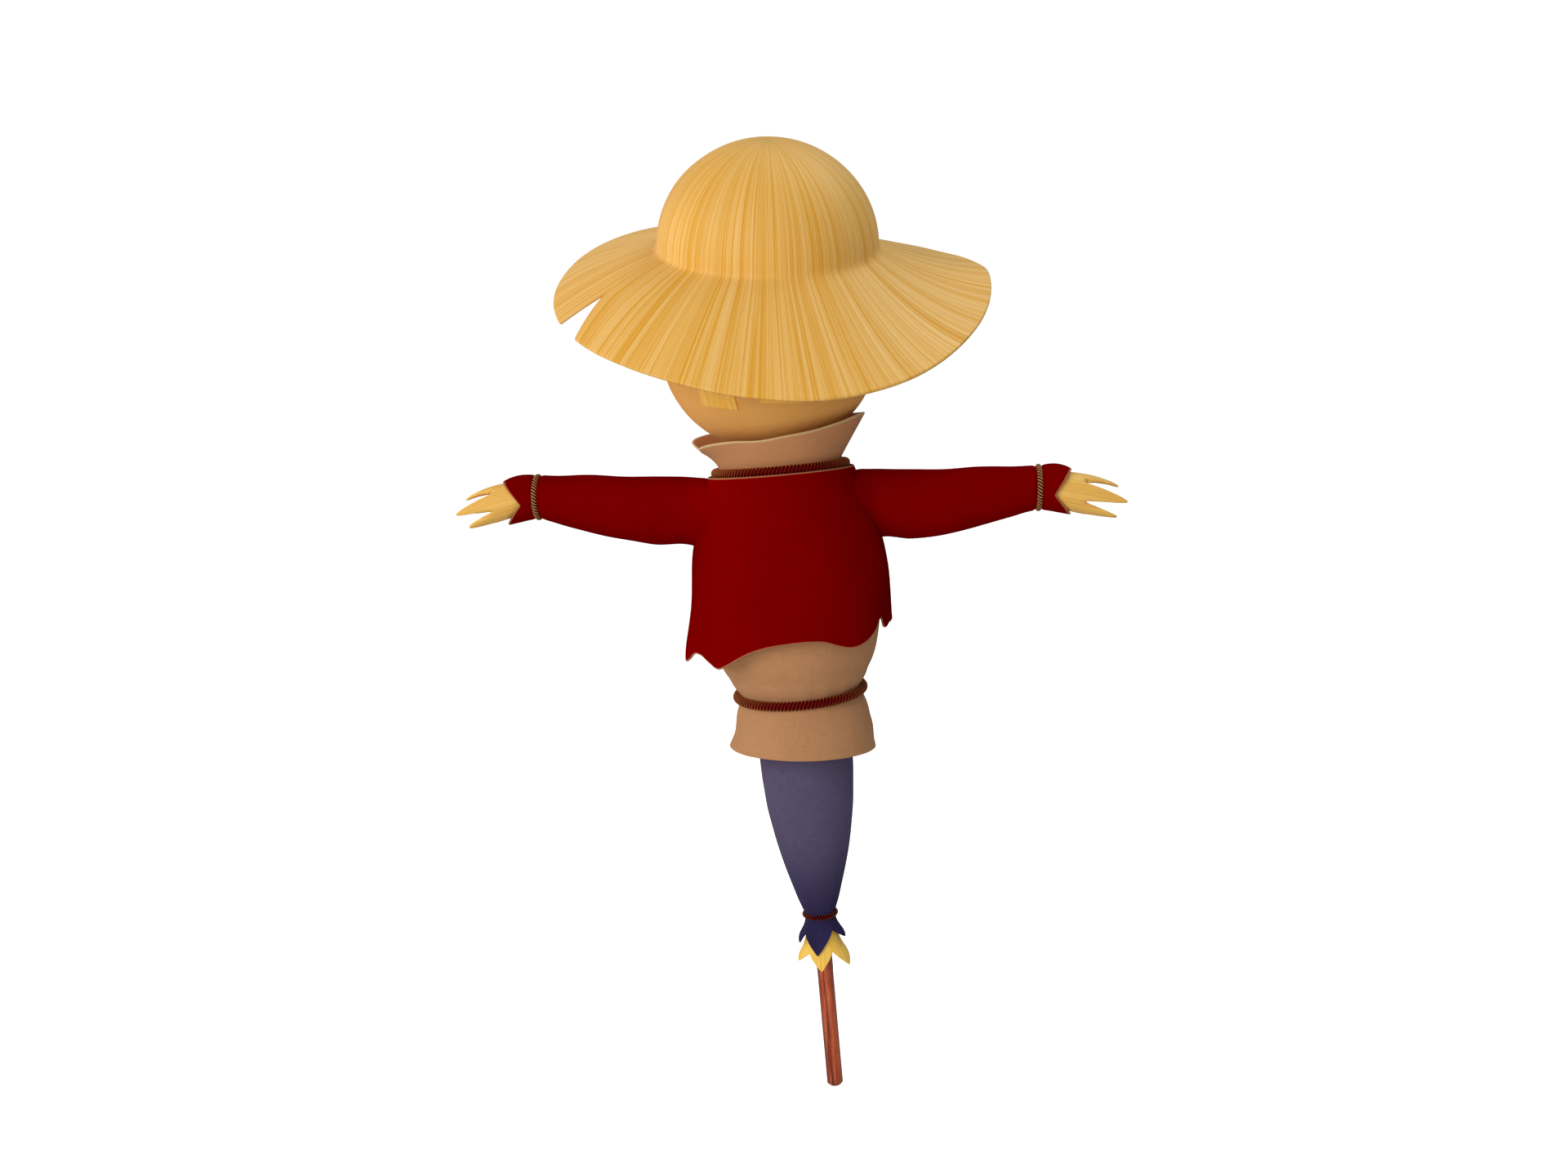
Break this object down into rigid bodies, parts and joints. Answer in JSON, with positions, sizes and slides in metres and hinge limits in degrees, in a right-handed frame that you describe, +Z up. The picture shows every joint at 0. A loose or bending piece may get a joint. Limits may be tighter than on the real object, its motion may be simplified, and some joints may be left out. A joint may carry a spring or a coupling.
{
  "type": "scarecrow figure",
  "caption": "Stake-mounted scarecrow figure: stuffed sack head under a tilted straw hat, red cloth shirt with stuffed sleeves, straw hands, burlap tunic and one denim leg.",
  "frame": {"origin": "centre of the pole's bottom end face", "axes": "+Z up along the pole, the figure faces -Y, +X towards the right arm as seen by somebody facing the figure"},
  "size_m": [0.6934, 0.4015, 0.9904],
  "materials": {
    "pole_wood": "semi-gloss",
    "bar_wood": "matt",
    "steel": "zinc plated",
    "head_cloth": "matt",
    "stuffing": "matt",
    "eye_straw": "matt",
    "hat_straw": "satin",
    "band_cloth": "matt",
    "burlap": "matt",
    "collar_burlap": "matt",
    "dark_rope": "satin",
    "red_cloth": "matt",
    "tan_rope": "satin",
    "hand_straw": "satin",
    "denim": "matt",
    "foot_straw": "satin"
  },
  "bodies": {
    "stake": {"pole": "pole_wood", "pivot_bolt": "steel", "pivot_washer": "steel", "pivot_nut": "steel", "hub_washer": "steel", "hub_screw": "steel", "torso_stuffing": "stuffing", "tunic": "burlap", "collar": "collar_burlap", "neck_rope": "dark_rope", "waist_rope": "dark_rope", "shirt_body": "red_cloth", "trouser_leg": "denim", "leg_stuffing": "stuffing", "ankle_rope": "dark_rope", "straw_foot": "foot_straw"},
    "arms": {"crossbar": "bar_wood", "left_sleeve": "red_cloth", "right_sleeve": "red_cloth", "left_arm_stuffing": "stuffing", "right_arm_stuffing": "stuffing", "left_wrist_rope": "tan_rope", "right_wrist_rope": "tan_rope"},
    "head": {"head_hub": "bar_wood", "head_sack": "head_cloth", "head_stuffing": "stuffing", "left_eye": "eye_straw", "right_eye": "eye_straw"},
    "hat": {"hat_crown": "hat_straw", "hat_brim": "hat_straw", "hat_sweatband": "band_cloth"},
    "left_hand": {"left_hand": "hand_straw"},
    "right_hand": {"right_hand": "hand_straw"}
  },
  "joints": [
    {"name": "crossbar_tilt", "type": "hinge", "parent": "stake", "child": "arms", "pos_m": [0, 0.0098, 0.6387], "axis": [0, 1, 0], "range_deg": [-10, 2]},
    {"name": "head_turn", "type": "hinge", "parent": "stake", "child": "head", "pos_m": [0, 0, 0.73], "axis": [0, 0, 1], "range_deg": [-75, 75]},
    {"name": "hat_lift", "type": "slide", "parent": "head", "child": "hat", "axis": [0.1045, -0.3483, 0.9315], "range_m": [0, 0.25]},
    {"name": "left_hand_twist", "type": "hinge", "parent": "arms", "child": "left_hand", "pos_m": [-0.27333, 0.0098, 0.65781], "axis": [-0.9976, 0, 0.0698], "range_deg": [-20, 20]},
    {"name": "right_hand_twist", "type": "hinge", "parent": "arms", "child": "right_hand", "pos_m": [0.27333, 0.0098, 0.61959], "axis": [0.9976, 0, -0.0698], "range_deg": [-20, 20]}
  ]
}
